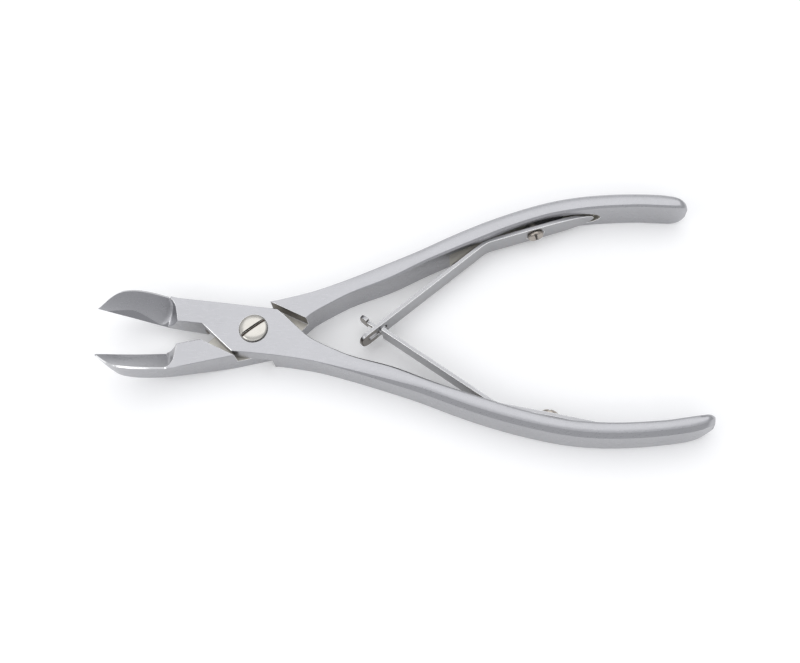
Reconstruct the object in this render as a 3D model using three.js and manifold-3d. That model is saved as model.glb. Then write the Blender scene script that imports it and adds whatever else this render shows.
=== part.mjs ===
// Spring-return cutting pliers with hollow-ground, upturned jaws: two levers in a half-lap joint,
// a pivot screw, and two leaf springs that hook into each other between the handles.
//
// Millimetres and degrees. The pivot axis is +Z through the origin, the joint's underside is z = 0,
// the jaws point to -X and the handles to +X. The pliers are modelled open, as the springs hold them.
//
// Each lever is shaped in its own closed frame, in which the cutting edges meet on the plane y = 0,
// with its jaw on the +Y side and its handle on the -Y side. The second lever is its mirror image,
// except for the lap, whose plate is the lower half instead of the upper one.

import * as THREE from "three";
import { mergeVertices } from "three/addons/utils/BufferGeometryUtils.js";
import Module from "manifold-3d";

const wasm = await Module();
wasm.setup();

// ---- Driving dimensions ----
const HALF_OPEN = 8.75; // each lever's turn from the closed plane
const JOINT_HEIGHT = 9.4;
const HANDLE_HEIGHT = 10.2;
const FACE_GAP = 0.05; // from the closed plane to each lever's inner face

const LAP_RADIUS = 8.0; // from the pivot to the lap plate's front and rear edges
const LAP_SKEW = 37; // slope of those edges
const LAP_CLEARANCE = 0.3;
const LAP_SPLIT_GAP = 0.2; // between the two lap plates

const PIVOT_HOLE_RADIUS = 2.65;
const PIVOT_SHANK_RADIUS = 2.5;
const PIVOT_HEAD = { radius: 3.55, edge: 0.35, dome: 0.6 };
const PIVOT_SLOT = { width: 0.8, depth: 0.7, angle: 35 - HALF_OPEN };
const HEAD_GAP = 0.1;

const TIP_X = -39.9;
const EDGE_SLOPE = 29.2; // the cutting edge's climb towards the tip
const EDGE_V = -8.46; // the cutting edge's place across that climb
const HOLLOW = { radius: 18, across: -9.12, up: 7.06 }; // the grinding wheel's axis, across that climb
const RELIEF_SLOPE = 0.87; // underside bevel below the cutting edge
const EDGE_LAND = 0.15; // height left at the cutting edge

const HANDLE_END_X = 115.2;
const END_ROUND = 1.6; // length over which the handle's end is rounded off
const EDGE_BEVEL = 0.5;
const OUTER_BEVEL = 1.2; // along the handle's upper outer edge
const OUTER_LEAN = 0.45; // how far the handle's outer side swells below that bevel
const SWELL_HEIGHT = 4; // where it swells most

const LEAF_THICKNESS = 1.0;
const LEAF_LOW = 1.25;
const LEAF_HIGH = 7.5;
const LEAF_BASE_ANGLE = 5.31; // the clamped part, in the lever's closed frame
const LEAF_BLADE_ANGLE = 28.8;
const LEAF_BEND = new THREE.Vector2(62.74, 12.06); // on the leaf's inner face
const LEAF_BEND_RADIUS = 7;
const LEAF_BASE_LENGTH = 29.3; // from the bend to the rear end
const LEAF_REAR_TAPER = 12;
const LEAF_MIDDLE = (LEAF_LOW + LEAF_HIGH) / 2;
const LEAF_HALF = (LEAF_HIGH - LEAF_LOW) / 2;
const CROSSING = 35.87; // from the bend to where the two blades cross
const SCREW_ALONG = 13.24; // from the bend to the leaf's screw
const SLOT = { before: 2.2, beyond: 3.4, height: 1.9 };
const SLOTTED_TIP = 5.9; // beyond the crossing
const NECK = { shoulder: 1.35, head: 3.4, height: 1.6 };
const HOOK_HEAD = { height: 4.4, length: 2.3 };

const LEAF_OVERLAP = 3; // how far base and blade outlines reach past the bend
const LEAF_BEND_STEPS = 6;
const SLOTTED_TIP_CURVE = 2.4;
const POCKET_CLEARANCE = 0.3;
const POCKET_END_GAP = 1.6; // behind the leaf's rear end
const POCKET_PLAN = [[52.5, 10.5], [62.7, 14.8], [76, 14.65], [94.6, 16.35], [94.6, 9], [52.5, 7]];

const SPRING_SCREW = { radius: 2.1, edge: 0.7, dome: 0.9, shank: 1.2, depth: 2.4 };
const SCREW_SEAT = { radius: 2.4, depth: 0.5, gap: 0.3 }; // counterbore in the leaf
const SPRING_SCREW_SLOT = { width: 0.65, depth: 0.5, angle: 100 };
const SPRING_SCREW_CLEARANCE = { leaf: 0.3, lever: 0.2, end: 0.6 };

const CURVE_STEPS = 48;
const BIG = 60; // longer than any cut needs

const STEEL = 0xb9bac0;
const SPRING_STEEL = 0xb3b3b8;
const NICKEL = 0xc6c1b6;

const rad = THREE.MathUtils.degToRad;

// ---- Solids ----

// A closed geometry as a solid, whichever way its faces were wound.
function solidOf(geometry) {
  const bare = geometry.clone();
  bare.deleteAttribute("normal");
  bare.deleteAttribute("uv");
  const merged = mergeVertices(bare, 1e-4);
  const index = merged.index.array;
  const triVerts = [];
  for (let i = 0; i < index.length; i += 3) {
    const [a, b, c] = [index[i], index[i + 1], index[i + 2]];
    if (a !== b && b !== c && c !== a) triVerts.push(a, b, c);
  }
  const build = (triangles) =>
    new wasm.Manifold(
      new wasm.Mesh({
        numProp: 3,
        vertProperties: new Float32Array(merged.attributes.position.array),
        triVerts: new Uint32Array(triangles),
      }),
    );
  const solid = build(triVerts);
  return solid.volume() > 0 ? solid : build(triVerts.reverse());
}

function geometryOf(solid) {
  const mesh = solid.getMesh();
  const geometry = new THREE.BufferGeometry();
  geometry.setAttribute("position", new THREE.BufferAttribute(mesh.vertProperties, mesh.numProp));
  geometry.setIndex(new THREE.BufferAttribute(mesh.triVerts, 1));
  geometry.computeVertexNormals();
  return geometry;
}

// An outline in x and y as a prism from low to high.
function upright(points, low, high) {
  const shape = new THREE.Shape(points.map(([x, y]) => new THREE.Vector2(x, y)));
  const geometry = new THREE.ExtrudeGeometry(shape, { depth: high - low, bevelEnabled: false });
  return geometry.translate(0, 0, low);
}

// A shape drawn in x and z as a slab, from y = near to y = far.
function slab(shape, near, far) {
  const geometry = new THREE.ExtrudeGeometry(shape, {
    depth: far - near,
    bevelEnabled: false,
    curveSegments: CURVE_STEPS / 4,
  });
  return geometry.rotateX(Math.PI / 2).translate(0, far, 0);
}

// A rod along Z between two heights.
function rod(radius, low, high) {
  const geometry = new THREE.CylinderGeometry(radius, radius, high - low, CURVE_STEPS);
  return geometry.rotateX(Math.PI / 2).translate(0, 0, (low + high) / 2);
}

// Rings of equal length, each in a plane of constant x, joined into one closed skin.
function loft(rings) {
  const count = rings[0].length;
  const index = [];
  for (let i = 0; i + 1 < rings.length; i++) {
    for (let k = 0; k < count; k++) {
      const a = i * count + k;
      const b = i * count + ((k + 1) % count);
      index.push(a, b, b + count, a, b + count, a + count);
    }
  }
  const last = (rings.length - 1) * count;
  for (let k = 1; k + 1 < count; k++) {
    index.push(0, k + 1, k, last, last + k, last + k + 1);
  }
  const geometry = new THREE.BufferGeometry().setFromPoints(rings.flat());
  return geometry.setIndex(index);
}

// A smooth function of x through points that are sorted by x.
function smooth(points) {
  const slope = (i) => {
    const [before, after] = [points[Math.max(i - 1, 0)], points[Math.min(i + 1, points.length - 1)]];
    return (after[1] - before[1]) / (after[0] - before[0]);
  };
  return (x) => {
    let i = 0;
    while (i < points.length - 2 && x > points[i + 1][0]) i++;
    const [[x0, y0], [x1, y1]] = [points[i], points[i + 1]];
    const span = x1 - x0;
    const t = THREE.MathUtils.clamp((x - x0) / span, 0, 1);
    const [t2, t3] = [t * t, t * t * t];
    return (
      (2 * t3 - 3 * t2 + 1) * y0 +
      (t3 - 2 * t2 + t) * span * slope(i) +
      (3 * t2 - 2 * t3) * y1 +
      (t3 - t2) * span * slope(i + 1)
    );
  };
}

// ---- A lever's outline, in its closed frame ----

const skew = rad(LAP_SKEW);
const jawOuter = smooth([
  [TIP_X, 0.3], [-38.7, 1.6], [-37, 3.3], [-35.1, 4.65], [-33.2, 5.4], [-30.5, 6.0], [-27, 6.32],
  [-20, 6.32], [-8, 6.18], [6, 5.92],
]);
const handleInner = smooth([
  [LAP_RADIUS / Math.sin(skew), 0], [15.4, -1.2], [20.8, -3.1], [26, -4.55], [36.4, -6.3],
  [47, -9.2], [57.5, -11.6], [67.9, -13.8], [78.3, -15.2], [86, -15.25], [93.4, -14.6],
  [103.2, -12.95], [108.1, -11.7], [113.4, -10.4], [HANDLE_END_X, -10.6],
]);
const handleOuter = smooth([
  [-8, -6.55], [2, -6.45], [10, -6.6], [18, -7.2], [31.9, -9.75], [42.4, -12.15], [52.9, -15.1],
  [63.4, -17.45], [73.7, -19.05], [82, -19.65], [90, -19.3], [98.9, -18.05], [108, -16],
  [111.8, -14.6], [113.8, -13.3], [HANDLE_END_X, -11.8],
]);
const underside = smooth([
  [TIP_X, 8.6], [-38, 7.6], [-36, 7.0], [-33, 6.5], [-29.5, 5.55], [-26.5, 4.3], [-23.5, 3.2],
  [-20, 2.35], [-15, 1.35], [-11, 0.55], [-7, 0], [0, 0],
]);
const jawTop = smooth([
  [TIP_X, 12.75], [-38.7, 13.1], [-37, 13.8], [-35.1, 14.3], [-33, 14.5], [-31, 14.3], [-29, 13.75],
  [-27, 12.8], [-25.2, 11.45], [-23.4, 10.3], [-21.6, 9.55], [-20, JOINT_HEIGHT], [-10, JOINT_HEIGHT],
]);
const handleTop = smooth([
  [-10, JOINT_HEIGHT], [20, JOINT_HEIGHT], [28, JOINT_HEIGHT + 0.15], [42, HANDLE_HEIGHT - 0.1],
  [50, HANDLE_HEIGHT], [HANDLE_END_X, HANDLE_HEIGHT],
]);
const cuttingEdgeZ = (x) => (EDGE_V - x * Math.sin(rad(EDGE_SLOPE))) / Math.cos(rad(EDGE_SLOPE));

// The hollow's end wall: its profile on the closed plane, in x and z, and its top edge, in x and y.
const HOLLOW_WALL = [[-19.9, 9.4], [-20.6, 7.9], [-21.9, 5.8], [-23.3, 4.45], [-25.2, 3.6]];
const HOLLOW_PLAN = [
  [-19.8, -3], [-20.05, 0.3], [-20.75, 2.5], [-21.35, 4.1], [-22.1, 5.1], [-23.0, 5.8],
  [-24.5, 7], [-26, 12], [-BIG, 12], [-BIG, -3],
];

// Where the outline changes from jaw to plate edge to handle.
const FRONT_START_X = -(LAP_RADIUS + Math.cos(skew) * FACE_GAP) / Math.sin(skew);
const FRONT_END_X = -4.55;
const REAR_START_X = 5.25;
const REAR_END_X = LAP_RADIUS / Math.sin(skew);

function upperSideY(x) {
  if (x <= REAR_START_X) return jawOuter(x);
  return x <= REAR_END_X ? (LAP_RADIUS - Math.sin(skew) * x) / Math.cos(skew) : handleInner(x);
}

function lowerSideY(x) {
  if (x <= FRONT_START_X) return FACE_GAP;
  return x <= FRONT_END_X ? -(LAP_RADIUS + Math.sin(skew) * x) / Math.cos(skew) : handleOuter(x);
}

// One cross-section of a lever: nine corners, counter-clockwise as seen from +X.
function leverSection(x) {
  const edge = EDGE_BEVEL * THREE.MathUtils.smoothstep(x, 14, 40);
  const handle = THREE.MathUtils.smoothstep(x, 34, 52);
  const [outer, lean] = [OUTER_BEVEL * handle, OUTER_LEAN * handle];
  const [high, low] = [upperSideY(x), lowerSideY(x)];
  const top = x < -10 ? jawTop(x) : handleTop(x);
  const bottom = x < -7 ? underside(x) : 0;
  const ground = THREE.MathUtils.smoothstep(-x, 22.5, 25.5);
  const relief = ground * Math.max(0, cuttingEdgeZ(x) - EDGE_LAND - bottom);
  const swell = THREE.MathUtils.lerp((bottom + relief + top) / 2, SWELL_HEIGHT, handle);
  const reliefWidth = Math.min(relief / RELIEF_SLOPE, (high - low) * 0.8);
  const corners = [
    [high, bottom + edge],
    [high, top - edge],
    [high - edge, top],
    [low + lean + outer, top],
    [low + lean, top - outer],
    [low, swell],
    [low + lean / 2, bottom + edge + relief],
    [low + lean + edge + reliefWidth, bottom],
    [high - edge, bottom],
  ];
  return corners.map(([y, z]) => new THREE.Vector3(x, y, z));
}

// Near the handle's end the sections shrink about their middle like a half ellipse.
function endSection(t) {
  const x = HANDLE_END_X - END_ROUND * (1 - t);
  const shrink = Math.sqrt(1 - t * t);
  const middle = (upperSideY(x) + lowerSideY(x)) / 2;
  const [across, upwards] = [0.5 + 0.5 * shrink, 0.4 + 0.6 * shrink];
  return leverSection(x).map((corner) => {
    const y = middle + (corner.y - middle) * across;
    const z = HANDLE_HEIGHT / 2 + (corner.z - HANDLE_HEIGHT / 2) * upwards;
    return new THREE.Vector3(x, y, z);
  });
}

function leverStations() {
  const stations = [TIP_X, -39.4];
  for (let x = -38.7; x < -19; x += 0.9) stations.push(x);
  stations.push(-17, -15, FRONT_START_X, -11, -7, FRONT_END_X, 0, REAR_START_X, 9, REAR_END_X);
  stations.push(15.4, 18);
  for (let x = 21; x < 107; x += 2.6) stations.push(x);
  stations.push(108, 109.8, 111.5);
  return stations;
}

function leverBlank() {
  const rings = leverStations().map(leverSection);
  for (const t of [0, 0.4, 0.7, 0.9, 1]) rings.push(endSection(t));
  return solidOf(loft(rings));
}

// ---- Cuts in a lever ----

// The band that the other lever's plate needs, in this lever's upper or lower half.
function lapCut(plateOnTop) {
  const middle = JOINT_HEIGHT / 2;
  const [low, high] = plateOnTop
    ? [-BIG, middle + LAP_SPLIT_GAP / 2]
    : [middle - LAP_SPLIT_GAP / 2, BIG];
  const band = new THREE.BoxGeometry(2 * BIG, 2 * (LAP_RADIUS + LAP_CLEARANCE), high - low);
  return solidOf(band.translate(0, 0, (low + high) / 2).rotateZ(skew));
}

// The hollow-ground face: a grinding wheel's path along the climb of the cutting edge, which ends
// in a filleted wall at the joint.
function hollowCut() {
  const climb = rad(EDGE_SLOPE);
  const upwards = new THREE.Vector3(Math.sin(climb), 0, Math.cos(climb));
  const forwards = new THREE.Vector3(-Math.cos(climb), 0, Math.sin(climb));
  const axis = upwards.clone().multiplyScalar(HOLLOW.up);
  axis.y = HOLLOW.across;
  const place = new THREE.Matrix4()
    .makeBasis(upwards, forwards, new THREE.Vector3(0, -1, 0))
    .setPosition(axis);
  const wheel = new THREE.CylinderGeometry(HOLLOW.radius, HOLLOW.radius, 2 * BIG, 2 * CURVE_STEPS);
  const wall = new THREE.Shape();
  wall.moveTo(-BIG, BIG);
  wall.lineTo(-15, BIG);
  wall.lineTo(-19.4, 10.6);
  wall.splineThru(HOLLOW_WALL.map(([x, z]) => new THREE.Vector2(x, z)));
  wall.lineTo(-BIG, -BIG);
  return solidOf(wheel.applyMatrix4(place))
    .intersect(solidOf(slab(wall, -BIG, BIG)))
    .intersect(solidOf(upright(HOLLOW_PLAN, -BIG, BIG)));
}

// ---- A leaf spring, in the closed frame of a lever whose handle is on the +Y side ----

const baseTurn = rad(LEAF_BASE_ANGLE);
const bladeTurn = rad(LEAF_BLADE_ANGLE);

// Leaf shapes are drawn with x along the leaf from its bend, z up, and their inner face on y = 0.
function alongBase(geometry) {
  return geometry.rotateZ(baseTurn).translate(LEAF_BEND.x, LEAF_BEND.y, 0);
}

function alongBlade(geometry) {
  return geometry.rotateZ(bladeTurn).translate(LEAF_BEND.x, LEAF_BEND.y, 0);
}

// The clamped stretch's outline, from x = start to its rounded rear end.
function baseOutline(start, grow, endGap) {
  const half = LEAF_HALF + grow;
  const end = LEAF_BASE_LENGTH + endGap;
  const [low, high] = [LEAF_MIDDLE - half, LEAF_MIDDLE + half];
  const [nearEnd, bulge] = [end - LEAF_REAR_TAPER / 3, half * 0.55];
  const shape = new THREE.Shape();
  shape.moveTo(start, low);
  shape.lineTo(end - LEAF_REAR_TAPER, low);
  shape.bezierCurveTo(nearEnd, low, end, LEAF_MIDDLE - bulge, end, LEAF_MIDDLE);
  shape.bezierCurveTo(end, LEAF_MIDDLE + bulge, nearEnd, high, end - LEAF_REAR_TAPER, high);
  shape.lineTo(start, high);
  return shape;
}

// The upper leaf's blade: a rounded tip with a slot through it.
function slottedBlade() {
  const tip = -(CROSSING + SLOTTED_TIP);
  const curve = tip + SLOTTED_TIP_CURVE;
  const shape = new THREE.Shape();
  shape.moveTo(LEAF_OVERLAP, LEAF_LOW);
  shape.lineTo(LEAF_OVERLAP, LEAF_HIGH);
  shape.lineTo(curve, LEAF_HIGH);
  shape.bezierCurveTo(tip, LEAF_HIGH, tip, LEAF_MIDDLE, tip, LEAF_MIDDLE);
  shape.bezierCurveTo(tip, LEAF_MIDDLE, tip, LEAF_LOW, curve, LEAF_LOW);
  const slot = new THREE.Path();
  const [near, far] = [-(CROSSING - SLOT.before), -(CROSSING + SLOT.beyond)];
  slot.moveTo(near, LEAF_MIDDLE - SLOT.height / 2);
  slot.lineTo(near, LEAF_MIDDLE + SLOT.height / 2);
  slot.lineTo(far, LEAF_MIDDLE + SLOT.height / 2);
  slot.lineTo(far, LEAF_MIDDLE - SLOT.height / 2);
  shape.holes.push(slot);
  return shape;
}

// The lower leaf's blade: shoulders, a narrow neck and a rounded crosspiece.
function hookedBlade() {
  const [neck, head] = [NECK.height / 2, HOOK_HEAD.height / 2];
  const shoulder = -(CROSSING - NECK.shoulder);
  const under = -(CROSSING + NECK.head);
  const end = under - HOOK_HEAD.length;
  const shape = new THREE.Shape();
  shape.moveTo(LEAF_OVERLAP, LEAF_LOW);
  shape.lineTo(LEAF_OVERLAP, LEAF_HIGH);
  shape.lineTo(shoulder, LEAF_HIGH);
  shape.lineTo(shoulder, LEAF_MIDDLE + neck);
  shape.lineTo(under, LEAF_MIDDLE + neck);
  shape.lineTo(under, LEAF_MIDDLE + head);
  const round = head * 0.45;
  shape.bezierCurveTo(end, LEAF_MIDDLE + head, end, LEAF_MIDDLE + round, end, LEAF_MIDDLE);
  shape.bezierCurveTo(end, LEAF_MIDDLE - round, end, LEAF_MIDDLE - head, under, LEAF_MIDDLE - head);
  shape.lineTo(under, LEAF_MIDDLE - neck);
  shape.lineTo(shoulder, LEAF_MIDDLE - neck);
  shape.lineTo(shoulder, LEAF_LOW);
  return shape;
}

// The strip's edge-on shape: a straight base, a rounded bend and a straight blade.
function leafStrip() {
  const tangent = LEAF_BEND_RADIUS * Math.tan((bladeTurn - baseTurn) / 2);
  const origin = new THREE.Vector2();
  const onBase = (along, out) => new THREE.Vector2(along, out).rotateAround(origin, baseTurn);
  const onBlade = (along, out) => new THREE.Vector2(along, out).rotateAround(origin, bladeTurn);
  const centre = onBase(tangent, -LEAF_BEND_RADIUS);
  const face = (out) => {
    const line = [onBase(LEAF_BASE_LENGTH + 1, out)];
    for (let i = 0; i <= LEAF_BEND_STEPS; i++) {
      const turn = baseTurn + ((bladeTurn - baseTurn) * i) / LEAF_BEND_STEPS + Math.PI / 2;
      const reach = LEAF_BEND_RADIUS + out;
      line.push(new THREE.Vector2(Math.cos(turn), Math.sin(turn)).multiplyScalar(reach).add(centre));
    }
    line.push(onBlade(-(CROSSING + SLOTTED_TIP + 2), out));
    return line;
  };
  const outline = [...face(0), ...face(LEAF_THICKNESS).reverse()];
  return solidOf(
    upright(outline.map((p) => p.add(LEAF_BEND).toArray()), LEAF_LOW - 1, LEAF_HIGH + 1),
  );
}

function leaf(bladeShape) {
  const reach = 4 * LEAF_THICKNESS;
  const outline = solidOf(alongBase(slab(baseOutline(-LEAF_OVERLAP, 0, 0), -reach, reach))).add(
    solidOf(alongBlade(slab(bladeShape, -reach, reach))),
  );
  const holeRadius = SPRING_SCREW.shank + SPRING_SCREW_CLEARANCE.leaf;
  return leafStrip()
    .intersect(outline)
    .subtract(solidOf(ontoLeaf(rod(holeRadius, -reach, reach), 0)))
    .subtract(solidOf(ontoLeaf(rod(SCREW_SEAT.radius, -SCREW_SEAT.depth, reach), 0)));
}

// The recess in the handle's inner side: room for the leaf at rest and pressed towards the handle.
function pocketCut() {
  const room = alongBase(slab(baseOutline(-BIG, POCKET_CLEARANCE, POCKET_END_GAP), -BIG, BIG));
  return solidOf(upright(POCKET_PLAN, -BIG, BIG)).intersect(solidOf(room));
}

// ---- Screws ----

// A domed, slotted head on a shank, with the head's underside on z = 0 and the shank below it.
function slottedScrew(head, shankRadius, shankLength, slot) {
  const profile = [new THREE.Vector2(0, -shankLength)];
  profile.push(new THREE.Vector2(shankRadius, -shankLength), new THREE.Vector2(shankRadius, 0));
  profile.push(new THREE.Vector2(head.radius, 0));
  const steps = 8;
  for (let i = 0; i <= steps; i++) {
    const turn = (i / steps) * (Math.PI / 2);
    profile.push(new THREE.Vector2(head.radius * Math.cos(turn), head.edge + head.dome * Math.sin(turn)));
  }
  profile[profile.length - 1].x = 0;
  const body = new THREE.LatheGeometry(profile, CURVE_STEPS).rotateX(Math.PI / 2);
  const cut = new THREE.BoxGeometry(4 * head.radius, slot.width, 2 * slot.depth);
  cut.rotateZ(rad(slot.angle)).translate(0, 0, head.edge + head.dome);
  return solidOf(body).subtract(solidOf(cut));
}

// Turns a screw that stands on +Z so that its head faces a leaf's inner side.
function ontoLeaf(geometry, depth) {
  return alongBase(
    geometry.rotateX(Math.PI / 2).translate(SCREW_ALONG, depth, LEAF_MIDDLE),
  );
}

// ---- Pieces ----

function mirrored(geometry) {
  return geometryOf(solidOf(geometry.clone().scale(1, -1, 1)));
}

function lever(plateOnTop) {
  const holeDepth = LEAF_THICKNESS + SPRING_SCREW.depth + SPRING_SCREW_CLEARANCE.end;
  const screwHole = rod(SPRING_SCREW.shank + SPRING_SCREW_CLEARANCE.lever, -holeDepth, 0);
  const leafSeat = pocketCut().add(solidOf(ontoLeaf(screwHole, 0)));
  return leverBlank()
    .subtract(lapCut(plateOnTop))
    .subtract(hollowCut())
    .subtract(solidOf(rod(PIVOT_HOLE_RADIUS, -BIG, BIG)))
    .subtract(solidOf(mirrored(geometryOf(leafSeat))));
}

function piece(name, geometry, colour, roughness) {
  const material = new THREE.MeshStandardMaterial({ color: colour, roughness, metalness: 1 });
  const mesh = new THREE.Mesh(geometry, material);
  mesh.name = name;
  return mesh;
}

const slottedLeaf = geometryOf(leaf(slottedBlade()));
const hookedLeaf = mirrored(geometryOf(leaf(hookedBlade())));
const headDepth = SCREW_SEAT.depth - SCREW_SEAT.gap; // the head's underside, below the leaf's face
const springScrewLength = LEAF_THICKNESS - headDepth + SPRING_SCREW.depth;
const springScrew = geometryOf(
  slottedScrew(SPRING_SCREW, SPRING_SCREW.shank, springScrewLength, SPRING_SCREW_SLOT),
);
ontoLeaf(springScrew, headDepth);
const pivotScrew = geometryOf(
  slottedScrew(PIVOT_HEAD, PIVOT_SHANK_RADIUS, JOINT_HEIGHT + HEAD_GAP, PIVOT_SLOT),
);
pivotScrew.translate(0, 0, JOINT_HEIGHT + HEAD_GAP);

// The lever with the upper plate: its handle is on the -Y side.
const frontLever = new THREE.Group();
frontLever.rotation.z = rad(-HALF_OPEN);
frontLever.add(
  piece("lever_a", geometryOf(lever(true)), STEEL, 0.32),
  piece("lower_spring", hookedLeaf, SPRING_STEEL, 0.35),
  piece("lower_spring_screw", mirrored(springScrew), NICKEL, 0.25),
);

// The lever with the lower plate: its handle is on the +Y side.
const backLever = new THREE.Group();
backLever.rotation.z = rad(HALF_OPEN);
backLever.add(
  piece("lever_b", mirrored(geometryOf(lever(false))), STEEL, 0.32),
  piece("pivot_screw", pivotScrew, NICKEL, 0.22),
  piece("upper_spring", slottedLeaf, SPRING_STEEL, 0.35),
  piece("upper_spring_screw", springScrew, NICKEL, 0.25),
);

const pliers = new THREE.Group();
pliers.add(frontLever, backLever);

export default pliers;
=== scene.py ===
"""Spring-return cutting pliers: the looks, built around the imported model.

Shapes are worked out in millimetres and scaled to metres when a mesh is made. Each lever is drawn in
its own closed frame, as it lies when the cutting edges meet on the plane y = 0, and is then turned
open about the pivot axis at the origin. The jaws point to -X and the handles to +X.
"""

import math

import bmesh
import bpy
from mathutils import Matrix, Vector


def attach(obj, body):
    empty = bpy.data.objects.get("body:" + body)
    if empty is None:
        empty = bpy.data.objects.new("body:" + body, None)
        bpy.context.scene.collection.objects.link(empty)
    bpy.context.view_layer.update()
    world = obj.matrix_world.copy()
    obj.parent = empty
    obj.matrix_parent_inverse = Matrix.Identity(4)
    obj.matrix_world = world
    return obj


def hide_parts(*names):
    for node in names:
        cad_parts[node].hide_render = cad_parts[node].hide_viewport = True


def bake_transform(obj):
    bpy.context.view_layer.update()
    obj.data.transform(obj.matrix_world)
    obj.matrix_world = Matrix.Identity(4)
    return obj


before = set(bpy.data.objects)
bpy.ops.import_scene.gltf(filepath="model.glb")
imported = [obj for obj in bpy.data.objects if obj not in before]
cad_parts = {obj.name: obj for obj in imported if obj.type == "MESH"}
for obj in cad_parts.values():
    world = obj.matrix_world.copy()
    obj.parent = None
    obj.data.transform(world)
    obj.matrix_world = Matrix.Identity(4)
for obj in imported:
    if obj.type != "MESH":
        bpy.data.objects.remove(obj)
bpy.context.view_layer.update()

MM = 0.001

# ---- The levers' dimensions, in millimetres; HALF_OPEN is in degrees, other turns in radians ----
HALF_OPEN = 8.75
JOINT_HEIGHT = 9.4
HANDLE_HEIGHT = 10.2
GROUND_GAP = 0.02
FACE_GAP = 0.06
LAP_RADIUS = 7.98
LAP_SKEW = math.radians(37)
LAP_STRIP = 8.3
LAP_SPLIT_GAP = 0.12
TIP_X = -39.85
HANDLE_END_X = 115.15

# The jaw: a wheel-ground hollow that climbs to the tip, a polished rim and a honed facet.
EDGE_SLOPE = math.radians(29.2)
EDGE_V = -8.46
EDGE_LAND = 0.12
WHEEL_RADIUS = 18.0
WHEEL_ACROSS = -9.12
WHEEL_UP = 7.06
WALL_BLEND = 1.5
RELIEF_SLOPE = 0.87
RELIEF_SHARE = 0.9
RIM_WIDTH = 0.45
RIM_FALL = 0.6
FACET = {"middle": -31.5, "half_length": 6.5, "width": 1.7, "slope": 0.8, "depth": 0.23}
FACET_START = -39.4
FACET_END = -23.6

# The cross-section, and the stretches over which its features grow, in x or, for the jaw, in -x.
FINE_EDGE = 0.12
HANDLE_EDGE = 0.5
EDGE_GROWS = (14, 42)
FRONT_BEVEL = 1.15
BACK_BEVEL = 0.6
BEVEL_GROWS = (14, 50)
SIDE_LEAN = 0.45
SWELL_HEIGHT = 4.0
SIDE_SWELLS = (34, 52)
CROWN = 0.13
CROWN_STEPS = 8
CROWN_GROWS = (13.5, 30)
JAW_SHARPENS = (18, 22)
RELIEF_GROWS = (22.5, 25.5)
END_RADIUS = 4.3
END_TOP_REACH = 2.4
END_TOP_DROP = 2.6

# Holes and clearances in the levers.
PIVOT_HOLE = 2.65
HEAD_RECESS = 0.12
HEAD_CLEARANCE = 0.16
SCREW_HOLE_DEPTH = 4
LEVER_HOLE_CLEARANCE = 0.2

# ---- The leaf springs' dimensions ----
LEAF_THICKNESS = 1.0
LEAF_LOW = 1.27
LEAF_HIGH = 7.48
LEAF_MIDDLE = (LEAF_LOW + LEAF_HIGH) / 2
LEAF_BASE_TURN = math.radians(5.31)
LEAF_BLADE_TURN = math.radians(28.8)
LEAF_BEND = (62.74, 12.06)
LEAF_BEND_RADIUS = 7.0
LEAF_BASE_LENGTH = 29.3
LEAF_NOSE = 12
POCKET_CLEARANCE = 0.3
POCKET_END_GAP = 1.6
CROSSING = 35.87
SCREW_ALONG = 13.24
SLOTTED_TIP = 5.9
SLOTTED_NOSE = 2.4
TIP_STEPS = 10
SLOT_BEFORE = 2.2
SLOT_BEYOND = 3.4
SLOT_HEIGHT = 1.9
SLOT_CORNER = 0.45
NECK_SHOULDER = 1.35
NECK_HEAD = 3.4
NECK_HEIGHT = 1.6
HOOK_HEIGHT = 4.4
HOOK_LENGTH = 2.3
LEAF_HOLE_CLEARANCE = 0.3

# ---- The screws' dimensions; a slot is its width, depth and turn ----
PIVOT_SCREW = {"radius": 3.55, "edge": 0.35, "dome": 0.6, "shank": 2.5, "length": 9.5,
               "slot": (0.8, 0.7, math.radians(35))}
SPRING_SCREW = {"radius": 2.1, "edge": 0.7, "dome": 0.9, "shank": 1.2, "length": 3.2,
                "slot": (0.65, 0.6, math.radians(100))}
SHANK_CHAMFER = 0.25
SLOT_FILLET = 0.1
SPRING_SCREW_SUNK = 0.2
SCREW_SEAT_RADIUS = 2.4
SCREW_SEAT_DEPTH = 0.5
SCREW_AROUND = 96

# ---- Meshes: when points weld, when faces merge, which edges stay sharp, how far edges are rounded ----
WELD = 0.008
SLIVER = 0.004
FLAT = math.radians(0.15)
SHARP = math.radians(32)
LEVER_ROUNDING = 0.11
LEAF_ROUNDING = 0.13
SCREW_ROUNDING = 0.05

# ---- Material slots of a piece: 0 is its plain metal ----
# Slot 1, the rounded edges and the jaw's rim: polished metal, painted bright as a highlight on the levers
# and leaves.
POLISH_AND_HIGHLIGHT = 1
# The honed facet: a finish of its own, with its colour painted darker as shade.
HONED_AND_SHADED = 2
MILLED = 3
# Painted shade, dark, on the lap's walls, between the levers and on the leaves' tips.
PAINTED_SHADE = 4
LEAF_PAINTED_SHADE = 2
# Slot 2 of a screw: a darker colour on the slot's floor and walls.
DARK_SLOT = 2

# ---- Colours ----
LEVER_COLOUR = (0.42, 0.42, 0.435)
SPRING_COLOUR = (0.4, 0.4, 0.41)
# Painted highlight: the polished edges' colour is near white so that they show bright highlight lines.
POLISH_HIGHLIGHT_COLOUR = (0.86, 0.86, 0.86)
# The honed facet's colour: its own finish, painted darker as shade.
HONED_SHADE_COLOUR = (0.32, 0.32, 0.335)
MILLED_COLOUR = (0.57, 0.55, 0.5)
# Painted shade: a dark colour on the lap's walls, the faces between the levers and the leaves' tips, where
# shade falls.
PAINTED_SHADE_COLOUR = (0.24, 0.22, 0.2)
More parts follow.
